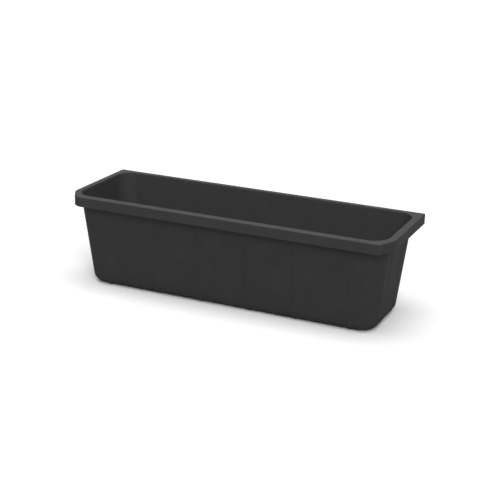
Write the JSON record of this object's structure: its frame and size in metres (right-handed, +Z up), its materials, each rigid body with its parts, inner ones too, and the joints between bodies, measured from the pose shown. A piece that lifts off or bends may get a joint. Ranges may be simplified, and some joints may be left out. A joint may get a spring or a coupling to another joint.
{
  "type": "livestock water trough",
  "caption": "Long moulded plastic drinking trough with tapered ribbed walls, a turned-down rim with cut front corners, and a screw-cap drain in one end wall.",
  "frame": {"origin": "on the ground, under the middle of the rim", "axes": "+X along the trough, away from the end wall with the drain; +Y towards the wall that it may stand against; +Z up"},
  "size_m": [0.8, 0.266, 0.226],
  "materials": {
    "trough_plastic": "moulded, satin, fine grain",
    "fitting_plastic": "moulded, satin",
    "washer_plastic": "moulded, matt",
    "seal_rubber": "matt, slightly soft",
    "cap_plastic": "moulded, satin, fluted grip"
  },
  "bodies": {
    "trough": {"trough_shell": "trough_plastic", "drain_body": "fitting_plastic", "flange_seal": "seal_rubber", "nut_washer": "washer_plastic", "back_nut": "fitting_plastic"},
    "seal_disc": {"cap_seal_disc": "seal_rubber"},
    "cap": {"drain_cap": "cap_plastic"}
  },
  "joints": [
    {"name": "cap_travel", "type": "slide", "parent": "trough", "child": "seal_disc", "axis": [-0.9951, 0, -0.0993], "range_m": [0, 0.009]},
    {"name": "cap_turn", "type": "hinge", "parent": "seal_disc", "child": "cap", "pos_m": [-0.36774, 0, 0.05], "axis": [-0.9951, 0, -0.0993], "range_deg": [0, 1080]}
  ],
  "couplings": [
    {"joint": "cap_travel", "follows": "cap_turn", "m_per_rad": 0.00047746}
  ]
}
